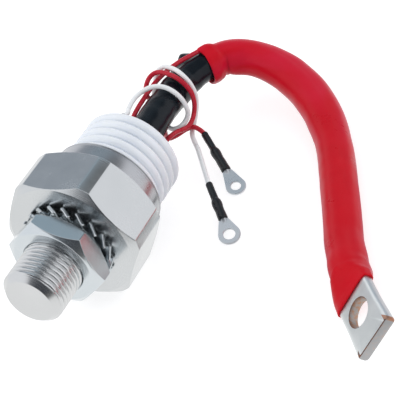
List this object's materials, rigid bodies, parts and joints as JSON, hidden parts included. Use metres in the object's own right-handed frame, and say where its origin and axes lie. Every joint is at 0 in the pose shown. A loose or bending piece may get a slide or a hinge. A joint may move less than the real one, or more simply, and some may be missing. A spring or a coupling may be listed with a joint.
{
  "type": "stud thyristor",
  "caption": "Stud-mounted power thyristor with a ribbed ceramic insulator, nut and toothed lock washer, flexible main lead with a lug, and thin gate and cathode leads.",
  "frame": {"origin": "centre of the hexagon's seating face, on the stud's axis", "axes": "-Y along the stud towards its tip, +Y along the lead as it leaves the cap, -Z the flat of the hexagon that it lies on, +X towards the lug"},
  "size_m": [0.1244, 0.1308, 0.041],
  "materials": {
    "nickel_base": "satin nickel plate on copper, turned marks on the faces",
    "zinc_steel": "bright zinc plate with a faint blue tint",
    "steel_ring": "turned nickel-plated steel",
    "ceramic": "glossy white glaze on alumina ceramic",
    "cap_metal": "satin nickel plate",
    "black_sleeving": "glossy black sleeve",
    "red_sleeving": "semi-gloss red sleeve",
    "tinned_copper": "satin tin plate, bare copper on the cut edges",
    "tinned_terminal": "bright tin plate",
    "white_wire": "white fluoropolymer insulation",
    "red_wire": "red fluoropolymer insulation",
    "black_shrink": "satin heat-shrink sleeve",
    "inner_metal": "plain metal, hidden inside",
    "silicon": "lapped silicon, hidden inside",
    "bare_copper": "bare copper, hidden inside",
    "inner_insulation": "insulating laminate, hidden inside"
  },
  "bodies": {
    "root": {"stud_base": "nickel_base", "lock_washer": "zinc_steel", "hex_nut": "zinc_steel", "housing_ring": "steel_ring", "weld_flange": "inner_metal", "insulator": "ceramic", "metal_cap": "cap_metal", "lead_tube": "cap_metal", "gate_tube": "cap_metal", "clamp_cup": "inner_metal", "molybdenum_disc": "inner_metal", "silicon_wafer": "silicon", "contact_disc": "inner_metal", "cathode_post": "bare_copper", "insulating_washer": "inner_insulation", "disc_spring_1": "inner_metal", "disc_spring_2": "inner_metal", "disc_spring_3": "inner_metal", "gate_pin": "inner_metal", "gate_pin_sleeve": "inner_insulation", "inner_gate_wire": "inner_metal", "inner_braid": "bare_copper", "black_sleeve": "black_sleeving", "red_sleeve": "red_sleeving", "cable_lug": "tinned_copper", "gate_lead": "white_wire", "cathode_lead": "red_wire", "gate_shrink": "black_shrink", "cathode_shrink": "black_shrink", "gate_terminal": "tinned_terminal", "cathode_terminal": "tinned_terminal"}
  },
  "joints": []
}
